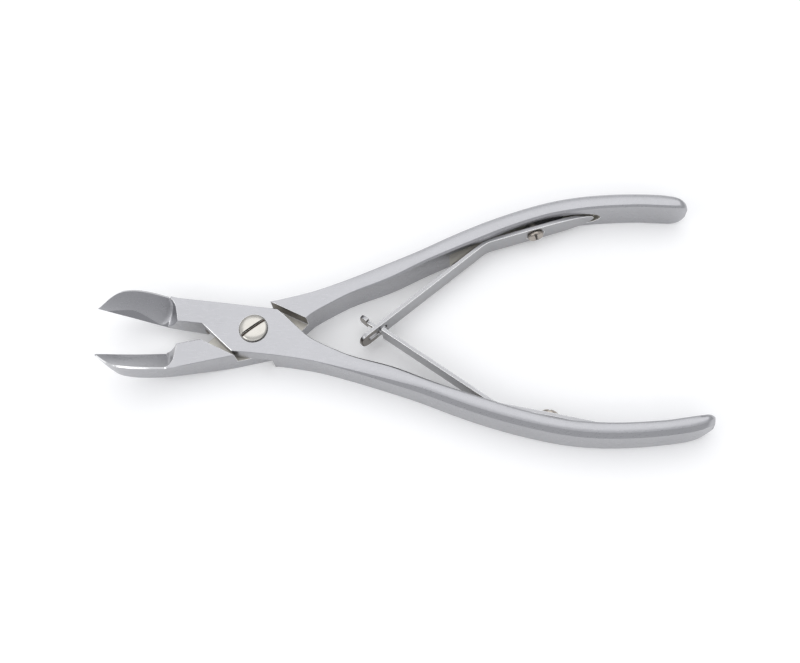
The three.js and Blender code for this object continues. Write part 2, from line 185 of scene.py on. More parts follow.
# The screw slots' floor and walls are coloured darker.
SLOT_COLOUR = (0.07, 0.055, 0.045)
SCREW_COLOUR = (0.56, 0.54, 0.5)
SPRING_SCREW_COLOUR = (0.42, 0.38, 0.34)
FLOOR_COLOUR = (0.9, 0.9, 0.9)
STUDIO_COLOUR = (0.96, 0.97, 1.0)

# The metals of a lever and of a leaf, in the order of their slots: name, colour and roughness.
LEVER_METALS = (
    ("steel", LEVER_COLOUR, 0.3),
    ("edges", POLISH_HIGHLIGHT_COLOUR, 0.16),
    ("honed", HONED_SHADE_COLOUR, 0.22),
    ("milled", MILLED_COLOUR, 0.45),
    ("painted_shade", PAINTED_SHADE_COLOUR, 0.3),
)
LEAF_METALS = (
    ("steel", SPRING_COLOUR, 0.32),
    ("edges", POLISH_HIGHLIGHT_COLOUR, 0.2),
    ("painted_shade", PAINTED_SHADE_COLOUR, 0.3),
)

# ---- The metals' noise: how fine it is, per metre, and how detailed ----
GRAIN_SCALE = (900, 4200, 4200)
GRAIN_DETAIL = 3.0
BLOTCH_SCALE = 70
BLOTCH_DETAIL = 4
TARNISH_SCALE = 420
TARNISH_DETAIL = 5

# ---- The studio, in metres and watts; the camera's place, lens and sensor are in millimetres ----
FLOOR_REACH = 0.9
FLOOR_GLOW = 0.15
STUDIO_LOW = 0.66
STUDIO_HIGH = 0.85
LIGHT_TARGET = (0.04, 0, 0)
LIGHTS = {
    "overhead": {"place": (0.05, 0.33, 0.85), "size": (1.1, 0.7), "power": 1.9},
    "side": {"place": (-0.7, -0.25, 0.6), "size": (0.5, 0.5), "power": 1.2},
    "front": {"place": (0.04, -0.6, 0.68), "size": (1.2, 0.12), "power": 0.5},
}
CAMERA_PLACE = (50.266, -98.163, 260.542)
CAMERA_RIGHT = (0.99772, -0.02602, -0.06224)
CAMERA_UP = (0.04639, 0.93450, 0.35292)
CAMERA_LENS = 48.37
CAMERA_SENSOR = 36


# ---- Camera ----


def make_camera():
    """The photograph's viewpoint: about 69 degrees up, turned 10 degrees about the view line."""
    camera = bpy.data.objects.new("camera", bpy.data.cameras.new("camera"))
    bpy.context.scene.collection.objects.link(camera)
    right = Vector(CAMERA_RIGHT)
    up = Vector(CAMERA_UP)
    turn = Matrix((right, up, right.cross(up))).transposed()
    camera.matrix_world = Matrix.Translation(Vector(CAMERA_PLACE) * MM) @ turn.to_4x4()
    camera.data.lens = CAMERA_LENS
    camera.data.sensor_width = CAMERA_SENSOR
    camera.data.clip_start = 0.01
    bpy.context.scene.camera = camera


# ---- Small helpers ----


def smooth(points):
    """A smooth function through points that are sorted by their first number."""

    def slope(i):
        before = points[max(i - 1, 0)]
        after = points[min(i + 1, len(points) - 1)]
        return (after[1] - before[1]) / (after[0] - before[0])

    def value(x):
        i = 0
        while i < len(points) - 2 and x > points[i + 1][0]:
            i += 1
        (x0, y0), (x1, y1) = points[i], points[i + 1]
        span = x1 - x0
        t = min(max((x - x0) / span, 0), 1)
        start = (1 + 2 * t) * (1 - t) ** 2 * y0 + t * (1 - t) ** 2 * span * slope(i)
        end = t * t * (3 - 2 * t) * y1 + t * t * (t - 1) * span * slope(i + 1)
        return start + end

    return value


def smoothstep(x, low, high):
    """0 up to low, 1 from high on, and a smooth rise between them."""
    t = min(max((x - low) / (high - low), 0), 1)
    return t * t * (3 - 2 * t)


def lerp(a, b, t):
    """a at t = 0 and b at t = 1."""
    return a + (b - a) * t


def steps(low, high, count):
    """count + 1 numbers from low to high."""
    return [lerp(low, high, i / count) for i in range(count + 1)]


def rounded(corners, radius, count):
    """A closed outline with each corner replaced by count + 1 points of a small curve."""
    out = []
    total = len(corners)
    for i, corner in enumerate(corners):
        here = Vector(corner)
        before = Vector(corners[i - 1])
        after = Vector(corners[(i + 1) % total])
        reach_in = min(radius, (before - here).length * 0.45)
        reach_out = min(radius, (after - here).length * 0.45)
        start = here + (before - here).normalized() * reach_in
        end = here + (after - here).normalized() * reach_out
        for k in range(count + 1):
            t = k / count
            out.append(start * (1 - t) ** 2 + here * (2 * t * (1 - t)) + end * t * t)
    return out


def bezier(points, t):
    """The point at t on the curve that four points control."""
    a, b, c, d = points
    s = 1 - t
    return a * s**3 + b * (3 * s * s * t) + c * (3 * s * t * t) + d * t**3


def new_object(name, verts, faces):
    """A mesh object from points in millimetres, its faces turned outwards."""
    mesh = bpy.data.meshes.new(name)
    mesh.from_pydata([tuple(MM * c for c in v) for v in verts], [], faces)
    obj = bpy.data.objects.new(name, mesh)
    bpy.context.scene.collection.objects.link(obj)
    bm = bmesh.new()
    bm.from_mesh(mesh)
    bmesh.ops.remove_doubles(bm, verts=bm.verts, dist=1e-7)
    bmesh.ops.recalc_face_normals(bm, faces=bm.faces)
    bm.to_mesh(mesh)
    bm.free()
    return obj


def loft(name, rings):
    """Rings of equal length joined into one closed skin."""
    count = len(rings[0])
    verts = [v for ring in rings for v in ring]
    faces = []
    for i in range(len(rings) - 1):
        for k in range(count):
            a, b = i * count + k, i * count + (k + 1) % count
            faces.append((a, b, b + count, a + count))
    last = (len(rings) - 1) * count
    faces.append(tuple(range(count))[::-1])
    faces.append(tuple(range(last, last + count)))
    return new_object(name, verts, faces)


def prism(name, outline, low, high):
    """An outline in x and y, from low to high in z."""
    return loft(name, [[(x, y, low) for x, y in outline], [(x, y, high) for x, y in outline]])


def cut(obj, tool, operation="DIFFERENCE"):
    """Applies one exact boolean and removes the tool."""
    modifier = obj.modifiers.new("cut", "BOOLEAN")
    modifier.operation = operation
    modifier.solver = "EXACT"
    modifier.object = tool
    graph = bpy.context.evaluated_depsgraph_get()
    result = bpy.data.meshes.new_from_object(obj.evaluated_get(graph))
    obj.modifiers.clear()
    old = obj.data
    obj.data = result
    bpy.data.meshes.remove(old)
    bpy.data.objects.remove(tool)
    return obj


def turn_about_z(obj, angle):
    """Turns the mesh about the pivot axis."""
    obj.data.transform(Matrix.Rotation(angle, 4, "Z"))


def mirror_y(obj):
    """Mirrors the mesh to the other side of the plane y = 0."""
    obj.data.transform(Matrix.Scale(-1, 4, (0, 1, 0)))
    obj.data.flip_normals()


def soften(obj, width, angle=50, segments=3, spare=None, merge_flat=True):
    """Rounds the sharp edges except spare ones, gives the rounding the polished edge metal, which on the
    levers and leaves is painted bright as a highlight, and shades the piece smooth.
    """
    bm = bmesh.new()
    bm.from_mesh(obj.data)
    bmesh.ops.remove_doubles(bm, verts=bm.verts, dist=WELD * MM)
    bmesh.ops.dissolve_degenerate(bm, edges=bm.edges, dist=SLIVER * MM)
    if merge_flat:
        bmesh.ops.dissolve_limit(bm, angle_limit=FLAT, verts=bm.verts, edges=bm.edges)
    sharp = []
    for edge in bm.edges:
        turn = edge.calc_face_angle(0)
        if not edge.is_manifold or turn < math.radians(angle):
            continue
        if spare is None or not any(spare(v.co / MM, turn) for v in edge.verts):
            sharp.append(edge)
    made = bmesh.ops.bevel(
        bm, geom=sharp, offset=width * MM, segments=segments, profile=0.5, affect="EDGES",
        clamp_overlap=False, miter_outer="ARC", loop_slide=True,
    )
    for face in made["faces"]:
        face.material_index = POLISH_AND_HIGHLIGHT
    bmesh.ops.remove_doubles(bm, verts=bm.verts, dist=SLIVER * MM)
    for face in bm.faces:
        face.smooth = True
    bm.to_mesh(obj.data)
    bm.free()
    obj.data.update()
    obj.data.set_sharp_from_angle(angle=SHARP)
    weighted = obj.modifiers.new("normals", "WEIGHTED_NORMAL")
    weighted.keep_sharp = True
    weighted.weight = 60


# ---- A lever, in its closed frame, with its jaw on +Y and its handle on -Y ----

jaw_outer = smooth([
    (TIP_X, 0.3), (-38.7, 1.6), (-37, 3.3), (-35.1, 4.65), (-33.2, 5.4), (-30.5, 6.0),
    (-27, 6.3), (-20, 6.3), (-8, 6.16), (6, 5.9),
])
handle_inner = smooth([
    (LAP_RADIUS / math.sin(LAP_SKEW), 0), (15.4, -1.2), (20.8, -3.1), (26, -4.55), (36.4, -6.3),
    (47, -9.2), (57.5, -11.6), (67.9, -13.8), (78.3, -15.2), (86, -15.25), (93.4, -14.6),
    (103.2, -12.95), (108.1, -11.7), (113.4, -10.4), (HANDLE_END_X, -10.45),
])
handle_outer = smooth([
    (-8, -6.53), (2, -6.43), (10, -6.58), (18, -7.2), (31.9, -9.75), (42.4, -12.15), (52.9, -15.1),
    (63.4, -17.45), (73.7, -19.0), (82, -19.6), (90, -19.28), (98.9, -18.03), (108, -15.98),
    (111.8, -14.68), (113.8, -13.58), (HANDLE_END_X, -12.6),
])
underside = smooth([
    (TIP_X, 8.6), (-38, 7.6), (-36, 7.0), (-33, 6.5), (-29.5, 5.55), (-26.5, 4.3), (-23.5, 3.2),
    (-20, 2.35), (-15, 1.35), (-11, 0.55), (-7, GROUND_GAP), (0, GROUND_GAP),
])
jaw_top = smooth([
    (TIP_X, 12.7), (-38.7, 13.1), (-37, 13.8), (-35.1, 14.28), (-33, 14.45), (-31, 14.28),
    (-29, 13.73), (-27, 12.8), (-25.2, 11.45), (-23.4, 10.3), (-21.6, 9.55), (-20, JOINT_HEIGHT),
    (-10, JOINT_HEIGHT),
])
handle_top = smooth([
    (-10, JOINT_HEIGHT), (20, JOINT_HEIGHT), (28, JOINT_HEIGHT + 0.15), (42, HANDLE_HEIGHT - 0.1),
    (50, HANDLE_HEIGHT), (HANDLE_END_X, HANDLE_HEIGHT),
])
hollow_wall = smooth([
    (-27, 3.1), (-25.2, 3.6), (-23.3, 4.45), (-21.9, 5.8), (-20.6, 7.9), (-19.9, 9.4), (-19.2, 11.2),
    (-17, 18),
])
hollow_plan = smooth([
    (-1.5, -19.95), (0.3, -20.05), (2.5, -20.75), (4.1, -21.35), (5.1, -22.1), (5.8, -23.0),
    (6.6, -24.4), (7.5, -26.5),
])

# Where the lap's two slanted fronts cross the upper and the lower side.
FRONT_START_X = -(LAP_RADIUS + math.cos(LAP_SKEW) * FACE_GAP) / math.sin(LAP_SKEW)
FRONT_END_X = -4.55
REAR_START_X = 5.25
REAR_END_X = LAP_RADIUS / math.sin(LAP_SKEW)


def upper_side(x):
    """The outline's +Y side: the jaw's back, the lap's rear slant, then the handle's inner side."""
    if x <= REAR_START_X:
        return jaw_outer(x)
    if x <= REAR_END_X:
        return (LAP_RADIUS - math.sin(LAP_SKEW) * x) / math.cos(LAP_SKEW)
    return handle_inner(x)


def lower_side(x):
    """The outline's -Y side: the jaw's inner face, the lap's front slant, then the handle's outer side."""
    if x <= FRONT_START_X:
        return FACE_GAP
    if x <= FRONT_END_X:
        return -(LAP_RADIUS + math.sin(LAP_SKEW) * x) / math.cos(LAP_SKEW)
    return handle_outer(x)


def cutting_edge_z(x):
    """The straight cutting edge's height."""
    return (EDGE_V - x * math.sin(EDGE_SLOPE)) / math.cos(EDGE_SLOPE)


def jaw_bottom(x):
    """The underside, kept so close below the cutting edge at the tip that it stays a point."""
    wedge = RELIEF_SLOPE * RELIEF_SHARE * (upper_side(x) - lower_side(x))
    return max(underside(x), cutting_edge_z(x) - EDGE_LAND - wedge)


def rounding(x, reach):
    """0 until reach before the handle's end, then 0 to 1 along a quarter circle."""
    t = min(max((x - HANDLE_END_X + reach) / reach, 0), 1)
    return 1 - math.sqrt(1 - t * t)


def lever_ring(x, bevel):
    """A closed cross-section: up the +Y side, over the crowned top, down the -Y side and back below."""
    blunt = 1 - smoothstep(-x, *JAW_SHARPENS)
    squeeze = 1 - rounding(x, 1.0)
    edge = lerp(FINE_EDGE, HANDLE_EDGE, smoothstep(x, *EDGE_GROWS)) * blunt * squeeze
    outer = lerp(FINE_EDGE, bevel, smoothstep(x, *BEVEL_GROWS)) * blunt * squeeze
    lean = SIDE_LEAN * smoothstep(x, *SIDE_SWELLS)
    crown = CROWN * smoothstep(x, *CROWN_GROWS)
    high, low = upper_side(x), lower_side(x)
    top = (jaw_top(x) if x < -10 else handle_top(x)) - END_TOP_DROP * rounding(x, END_TOP_REACH)
    bottom = (jaw_bottom(x) if x < -7 else GROUND_GAP) + END_RADIUS * rounding(x, END_RADIUS)
    relief = smoothstep(-x, *RELIEF_GROWS) * max(0, cutting_edge_z(x) - EDGE_LAND - bottom)
    relief_width = min(relief / RELIEF_SLOPE, (high - low) * RELIEF_SHARE)
    middle = (bottom + relief + top) / 2
    swell = lerp(middle, max(SWELL_HEIGHT, bottom + 1.2), smoothstep(x, *SIDE_SWELLS))
    crest = []
    for k in range(1, CROWN_STEPS):
        t = k / CROWN_STEPS
        crest.append((lerp(high - edge, low + lean + outer, t), top - crown * (2 * t - 1) ** 2))
    corners = [
        (high, bottom + edge),
        (high, top - crown - edge),
        (high - edge, top - crown),
        *crest,
        (low + lean + outer, top - crown),
        (low + lean, top - crown - outer),
        (low, swell),
        (low + lean / 2, bottom + edge + relief),
        (low + lean + edge + relief_width, bottom),
        (high - edge, bottom),
    ]
    return [(x, y, z) for y, z in corners]


def lever_stations():
    """Where the cross-sections stand: closest together in the jaw and around the handle's end."""
    jaw = steps(TIP_X, -24, 60) + steps(-23.8, FRONT_START_X, 40)
    joint = steps(FRONT_START_X + 0.3, FRONT_END_X, 8) + [0, REAR_START_X, 7, 9, 11, REAR_END_X]
    handle = steps(REAR_END_X + 0.4, 28, 28) + steps(28.6, 110, 128)
    end = []
    for k in range(1, 25):
        turn = k / 24 * math.pi / 2
        end.append(HANDLE_END_X - END_RADIUS + END_RADIUS * 0.9995 * math.sin(turn))
    return jaw + joint + handle + end


def lever_blank(name, bevel):
    """A lever before it is cut: one loft from the jaw's tip to the handle's end."""
    return loft(name, [lever_ring(x, bevel) for x in lever_stations()])


# ---- Cuts ----


def lap_tool(plate_on_top):
    """What is milled away in the joint: everything below the plate, or everything above it."""
    middle = JOINT_HEIGHT / 2
    low, high = (-20, middle + LAP_SPLIT_GAP / 2) if plate_on_top else (middle - LAP_SPLIT_GAP / 2, 30)
    outline = [(-60, -LAP_STRIP), (60, -LAP_STRIP), (60, LAP_STRIP), (-60, LAP_STRIP)]
    tool = prism("lap", outline, low, high)
    turn_about_z(tool, LAP_SKEW)
    return tool


def hollow_z(x, y):
    """The hollow-ground face's height, with its outer rim rounded over."""
    rim = jaw_outer(x) - RIM_WIDTH
    return ground_z(x, min(y, rim)) - RIM_FALL * max(y - rim, 0)


def ground_z(x, y):
    """A wheel's groove that runs up into a filleted end wall."""
    groove = (wheel_v(y) - math.sin(EDGE_SLOPE) * x) / math.cos(EDGE_SLOPE)
    from_wall = x - hollow_plan(y) + hollow_plan(0.3)
    wall = hollow_wall(min(max(from_wall, -27), -17)) if from_wall >= -26 else -10
    gap = min(max((wall - groove) / WALL_BLEND, -1), 1)
    return max(groove, wall) + (1 - abs(gap)) ** 2 * WALL_BLEND / 4


def wheel_v(y):
    """The grinding wheel's groove, measured square to the cutting edge's climb."""
    across = min(abs(y - WHEEL_ACROSS), WHEEL_RADIUS * 0.995)
    return WHEEL_UP - math.sqrt(WHEEL_RADIUS**2 - across**2)


def facet_z(x, y):
    """The honed facet along the cutting edge: a second wheel that touches it over a lens-shaped area."""
    away = (x - FACET["middle"]) / FACET["half_length"]
    v = wheel_v(FACET["width"]) + FACET["slope"] * (y - FACET["width"]) + FACET["depth"] * away**2
    return (v - math.sin(EDGE_SLOPE) * x) / math.cos(EDGE_SLOPE)


def height_tool(name, xs, ys, height):
    """A closed block that stands on the surface height(x, y); ys(x) lists the places across."""
    rows = len(ys(0))
    verts = [(x, y, height(x, y)) for x in xs for y in ys(x)]
    verts += [(x, y, 30) for x in xs for y in ys(x)]
    top = len(xs) * rows
    faces = []
    for i in range(len(xs) - 1):
        for k in range(rows - 1):
            a = i * rows + k
            quad = (a, a + rows, a + rows + 1, a + 1)
            faces.append(quad[::-1])
            faces.append(tuple(top + v for v in quad))
    rim = list(range(rows))
    rim += [i * rows + rows - 1 for i in range(1, len(xs))]
    rim += [(len(xs) - 1) * rows + k for k in range(rows - 2, -1, -1)]
    rim += [i * rows for i in range(len(xs) - 2, 0, -1)]
    for k, a in enumerate(rim):
        b = rim[(k + 1) % len(rim)]
        faces.append((a, b, b + top, a + top))
    return new_object(name, verts, faces)


def hollow_tool():
    """The block that cuts the hollow; its grid has a line along the rim's inner edge."""
    xs = steps(-42, -24.5, 50) + steps(-24.2, -18.2, 50)

    def across(x):
        rim = jaw_outer(x) - RIM_WIDTH
        return steps(-1.2, rim, 40) + steps(rim + 0.1, rim + 1.2, 11)

    return height_tool("hollow", xs, across, hollow_z)


def facet_tool():
    """The block that cuts the honed facet."""
    xs = steps(FACET_START, FACET_END, 48)
    return height_tool("facet", xs, lambda x: steps(-0.8, 2.3, 10), facet_z)


def along_base(obj):
    """Moves something drawn along +X from the origin to the leaf's clamped stretch."""
    obj.data.transform(
        Matrix.Translation((LEAF_BEND[0] * MM, LEAF_BEND[1] * MM, 0))
        @ Matrix.Rotation(LEAF_BASE_TURN, 4, "Z")
    )


def base_outline(start, grow, end_gap, count=14):
    """The clamped stretch's outline in x and z, with a long rounded rear end."""
    half = (LEAF_HIGH - LEAF_LOW) / 2 + grow
    end = LEAF_BASE_LENGTH + end_gap
    shoulder = end - LEAF_NOSE
    outline = [(start, LEAF_MIDDLE - half), (shoulder, LEAF_MIDDLE - half)]
    low_curve = [
        Vector((shoulder, LEAF_MIDDLE - half)), Vector((end - LEAF_NOSE / 3, LEAF_MIDDLE - half)),
        Vector((end, LEAF_MIDDLE - 0.55 * half)), Vector((end, LEAF_MIDDLE)),
    ]
    for k in range(1, count + 1):
        outline.append(tuple(bezier(low_curve, k / count)))
    for k in range(count - 1, -1, -1):
        x, z = bezier(low_curve, k / count)
        outline.append((x, 2 * LEAF_MIDDLE - z))
    outline.append((start, LEAF_MIDDLE + half))
    return outline


def pocket_tool():
    """The pocket behind the leaf: open towards the other handle, as high as the leaf and a little more."""
    plan = [(52.5, 10.5), (62.7, 14.8), (76, 14.65), (94.6, 16.35), (94.6, 6), (52.5, 6)]
    tool = prism("pocket", plan, -5, 20)
    outline = base_outline(-30, POCKET_CLEARANCE, POCKET_END_GAP)
    side = loft("room", [[(x, y, z) for x, z in outline] for y in (-12, 12)])
    along_base(side)
    return cut(tool, side, "INTERSECT")


def round_tool(name, radius, low, high, count=64):
    """An upright cylinder about the origin."""
    outline = []
    for k in range(count):
        turn = 2 * math.pi * k / count
        outline.append((radius * math.cos(turn), radius * math.sin(turn)))
    return prism(name, outline, low, high)


def onto_leaf(obj, depth):
    """Turns something that stands on +Z at the origin so that it faces a leaf's inner side."""
    obj.data.transform(Matrix.Rotation(math.pi / 2, 4, "X"))
    obj.data.transform(Matrix.Translation((SCREW_ALONG * MM, depth * MM, LEAF_MIDDLE * MM)))
    along_base(obj)


def spare_on_lever(point, angle):
    """The jaw's tip and edges, and the handle's bevels and end, stay as they were drawn."""
    if point.x > 15:
        return angle < math.radians(62) or point.x > 110
    on_edge = point.x < -19.5 and point.y < 0.3
    on_rim = point.x < -21 and point.y > jaw_outer(point.x) - 0.5
    return point.x < -38.6 or on_edge or on_rim


def lever_slot(centre, normal, slot):
    """The material slot of one face, which has the given slot so far."""
    x, y, z = centre
    if x < -20 and normal.z > 0.2:
        # The rim takes the polished metal, painted bright as a highlight.
        if y > jaw_outer(x) - RIM_WIDTH and abs(z - hollow_z(x, y)) < 0.03:
            return POLISH_AND_HIGHLIGHT
        # The facet takes the honed metal, painted darker as shade.
        if FACET_START < x < FACET_END and y < 1.9 and facet_z(x, y) < hollow_z(x, y) - 0.002:
            return HONED_AND_SHADED
    skew_normal = Vector((-math.sin(LAP_SKEW), math.cos(LAP_SKEW), 0))
    off = abs(centre.dot(skew_normal))
    beside_lap = abs(off - LAP_STRIP) < 0.05 and abs(normal.dot(skew_normal)) > 0.9
    lap_wall = beside_lap and 0.3 < z < JOINT_HEIGHT - 0.3
    inner_face = -20.5 < x < -7 and abs(y - FACE_GAP) < 0.05 and abs(normal.y) > 0.9
    # The lap's walls and the inner faces between the levers are painted dark as shade.
    if lap_wall or inner_face:
        return PAINTED_SHADE
    lap_floor = off < LAP_STRIP - 0.2 and abs(z - JOINT_HEIGHT / 2) < 0.2 and abs(normal.z) > 0.9
    pocket = 52 < x < 97 and 0.6 < z < 8.2 and handle_outer(x) + 0.6 < y < handle_inner(x) - 0.06
    if lap_floor or pocket:
        return MILLED
    return slot


def mark_faces(obj):
    """Marks the jaw's rim, polished and painted bright as a highlight, the honed facet, painted darker as
    shade, the milled pocket and lap, and the lap's walls and the faces between the levers, painted dark as
    shade.
    """
    for face in obj.data.polygons:
        face.material_index = lever_slot(face.center / MM, face.normal, face.material_index)


def make_lever(name, plate_on_top):
    """One lever: lofted, cut, softened, marked and turned open; lever_a has its plate on top."""
    obj = lever_blank(name, FRONT_BEVEL if plate_on_top else BACK_BEVEL)
    cut(obj, lap_tool(plate_on_top))
    cut(obj, hollow_tool())
    cut(obj, facet_tool())
    cut(obj, round_tool("hole", PIVOT_HOLE, -5, 20))
    if plate_on_top:
        ring = round_tool("ring", PIVOT_SCREW["radius"] + HEAD_CLEARANCE, JOINT_HEIGHT - HEAD_RECESS, 20)
        cut(obj, ring)
    pocket = pocket_tool()
    mirror_y(pocket)
    cut(obj, pocket)
    hole = round_tool("hole", SPRING_SCREW["shank"] + LEVER_HOLE_CLEARANCE, -SCREW_HOLE_DEPTH, 0.2, 32)
    onto_leaf(hole, 0)
    mirror_y(hole)
    cut(obj, hole)
    soften(obj, LEVER_ROUNDING, spare=spare_on_lever)
    mark_faces(obj)
    if not plate_on_top:
        mirror_y(obj)
    turn_about_z(obj, math.radians(-HALF_OPEN if plate_on_top else HALF_OPEN))
    return obj


# ---- Leaf springs, in the closed frame, for the handle on the +Y side ----


def leaf_line():
    """The inner face's line from the rear end to the tip: point in plan, and the face's normal angle."""
    tangent = LEAF_BEND_RADIUS * math.tan((LEAF_BLADE_TURN - LEAF_BASE_TURN) / 2)
    bend = Vector(LEAF_BEND)
    base = Vector((math.cos(LEAF_BASE_TURN), math.sin(LEAF_BASE_TURN)))
    blade = Vector((math.cos(LEAF_BLADE_TURN), math.sin(LEAF_BLADE_TURN)))
    line = [(bend + base * s, LEAF_BASE_TURN) for s in steps(LEAF_BASE_LENGTH + 1, tangent + 0.3, 46)]
    centre = bend + base * tangent + Vector((base.y, -base.x)) * LEAF_BEND_RADIUS
    for turn in steps(LEAF_BASE_TURN, LEAF_BLADE_TURN, 14):
        out = Vector((-math.sin(turn), math.cos(turn)))
        line.append((centre + out * LEAF_BEND_RADIUS, turn))
    line += [(bend - blade * s, LEAF_BLADE_TURN) for s in steps(tangent + 0.3, CROSSING + 8, 70)]
    return line


def leaf_strip(name):
    """The bent strip, a little higher and longer than the leaf that is cut from it."""
    rings = []
    for place, turn in leaf_line():
        out = Vector((-math.sin(turn), math.cos(turn))) * LEAF_THICKNESS
        ring = []
        for share, height in ((0, LEAF_LOW - 1), (0, LEAF_HIGH + 1), (1, LEAF_HIGH + 1), (1, LEAF_LOW - 1)):
            ring.append((*(place + out * share), height))
        rings.append(ring)
    return loft(name, rings)


def upright_prism(name, outline, turn):
    """An outline in x and z, thick in y, laid along the base or the blade."""
    tool = loft(name, [[(x, y, z) for x, z in outline] for y in (-5, 5)])
    tool.data.transform(
        Matrix.Translation((LEAF_BEND[0] * MM, LEAF_BEND[1] * MM, 0)) @ Matrix.Rotation(turn, 4, "Z")
    )
    return tool


def both_sides(lower):
    """An outline given by its lower half, from the bend to the tip, mirrored about the leaf's middle."""
    return lower + [(x, 2 * LEAF_MIDDLE - z) for x, z in reversed(lower) if z < LEAF_MIDDLE - 1e-6]


def slotted_outline():
    """The slotted leaf's blade, with a rounded tip."""
    tip = -(CROSSING + SLOTTED_TIP)
    curve = tip + SLOTTED_NOSE
    control = [Vector((curve, LEAF_LOW)), Vector((tip, LEAF_LOW)), Vector((tip, LEAF_MIDDLE)),
               Vector((tip, LEAF_MIDDLE))]
    lower = [(3, LEAF_LOW), (curve, LEAF_LOW)]
    lower += [tuple(bezier(control, k / TIP_STEPS)) for k in range(1, TIP_STEPS + 1)]
    return both_sides(lower)


def hooked_outline():
    """The hooked leaf's blade: a narrow neck that ends in a crosspiece."""
    shoulder = -(CROSSING - NECK_SHOULDER)
    under = -(CROSSING + NECK_HEAD)
    end = under - HOOK_LENGTH
    neck, head = LEAF_MIDDLE - NECK_HEIGHT / 2, LEAF_MIDDLE - HOOK_HEIGHT / 2
    round_height = LEAF_MIDDLE - 0.45 * HOOK_HEIGHT / 2
    control = [Vector((under, head)), Vector((end, head)), Vector((end, round_height)),
               Vector((end, LEAF_MIDDLE))]
    lower = [(3, LEAF_LOW), (shoulder, LEAF_LOW), (shoulder, neck), (under, neck), (under, head)]
    lower += [tuple(bezier(control, k / TIP_STEPS)) for k in range(1, TIP_STEPS + 1)]
    return both_sides(lower)


def mark_tip(obj, start):
    """Paints shade on the blade beyond start, except on its top edge."""
    bend = Vector((*LEAF_BEND, 0))
    blade = Vector((math.cos(LEAF_BLADE_TURN), math.sin(LEAF_BLADE_TURN), 0))
    for face in obj.data.polygons:
        if (face.center / MM - bend).dot(blade) < -start and face.normal.z < 0.7:
            face.material_index = LEAF_PAINTED_SHADE


def make_leaf(name, blade_outline, slotted):
    """One strip with rounded edges, cut to its outline, with a counterbored screw hole."""
    outline = upright_prism("base", base_outline(-3, 0, 0), LEAF_BASE_TURN)
    cut(outline, upright_prism("blade", blade_outline, LEAF_BLADE_TURN), "UNION")
    obj = cut(leaf_strip(name), outline, "INTERSECT")
    if slotted:
        near, far = -(CROSSING - SLOT_BEFORE), -(CROSSING + SLOT_BEYOND)
        low, high = LEAF_MIDDLE - SLOT_HEIGHT / 2, LEAF_MIDDLE + SLOT_HEIGHT / 2
        slot = rounded([(near, low), (near, high), (far, high), (far, low)], SLOT_CORNER, 4)
        cut(obj, upright_prism("slot", [tuple(p) for p in slot], LEAF_BLADE_TURN))
    for radius, depth in (
        (SPRING_SCREW["shank"] + LEAF_HOLE_CLEARANCE, SCREW_HOLE_DEPTH),
        (SCREW_SEAT_RADIUS, SCREW_SEAT_DEPTH),
    ):
        hole = round_tool("hole", radius, -depth, 4)
        onto_leaf(hole, 0)
        cut(obj, hole)
    soften(obj, LEAF_ROUNDING, merge_flat=False)
    mark_tip(obj, CROSSING + 0.6 if slotted else CROSSING - NECK_SHOULDER)
    return obj


# ---- Screws, standing on +Z with the head's underside at z = 0 ----


def mark_slot(obj, turn, half, floor):
    """Darkens the slot's floor and walls."""
    side = Vector((-math.sin(turn), math.cos(turn), 0))
    for face in obj.data.polygons:
        centre = face.center / MM
        inside = abs(centre.dot(side)) < half and centre.z > floor
        is_floor = face.normal.z > 0.9 and centre.z < floor + SLOT_FILLET
        is_wall = abs(face.normal.dot(side)) > 0.8
        if inside and (is_floor or is_wall):
            face.material_index = DARK_SLOT


def make_screw(name, size):
    """A slotted dome-head screw, its thread left plain."""
    radius, edge, dome, shank = (size[key] for key in ("radius", "edge", "dome", "shank"))
    slot_width, slot_depth, slot_turn = size["slot"]
    profile = [(0, -size["length"]), (shank - SHANK_CHAMFER, -size["length"])]
    profile += [(shank, -size["length"] + SHANK_CHAMFER), (shank, 0)]
    profile += [(radius - 0.12, 0), (radius - 0.03, 0.05), (radius, 0.14), (radius, edge - 0.06)]
    for k in range(13):
        turn = k / 12 * math.pi / 2
        profile.append((radius * math.cos(turn) ** 0.9, edge + dome * math.sin(turn)))
    rings = []
    for r, z in profile:
        ring = []
        for k in range(SCREW_AROUND):
            turn = 2 * math.pi * k / SCREW_AROUND
            ring.append((max(r, 0.001) * math.cos(turn), max(r, 0.001) * math.sin(turn), z))
        rings.append(ring)
    obj = loft(name, rings)
    half, wide = slot_width / 2, radius * 1.5
    top = edge + dome
    floor = top - slot_depth
    section = [(-half, top + 1), (-half, floor + SLOT_FILLET), (-half + SLOT_FILLET, floor),
               (half - SLOT_FILLET, floor), (half, floor + SLOT_FILLET), (half, top + 1)]
    tool = loft("slot", [[(x, y, z) for y, z in section] for x in (-wide, wide)])
    turn_about_z(tool, slot_turn)
    cut(obj, tool)
    soften(obj, SCREW_ROUNDING, angle=38, segments=2, merge_flat=False)
    mark_slot(obj, slot_turn, half + 0.02, floor - 0.02)
    return obj


# ---- Materials ----


def new_material(name):
    """A new node material: itself, its nodes, its links and its shader."""
    material = bpy.data.materials.new(name)
    material.use_nodes = True
    nodes = material.node_tree.nodes
    return material, nodes, material.node_tree.links, nodes["Principled BSDF"]


def add_noise(nodes, links, place, scale, detail):
    """A noise texture over the given coordinates; the result is its factor."""
    noise = nodes.new("ShaderNodeTexNoise")
    noise.inputs["Scale"].default_value = scale
    noise.inputs["Detail"].default_value = detail
    links.new(place, noise.inputs["Vector"])
    return noise.outputs["Fac"]


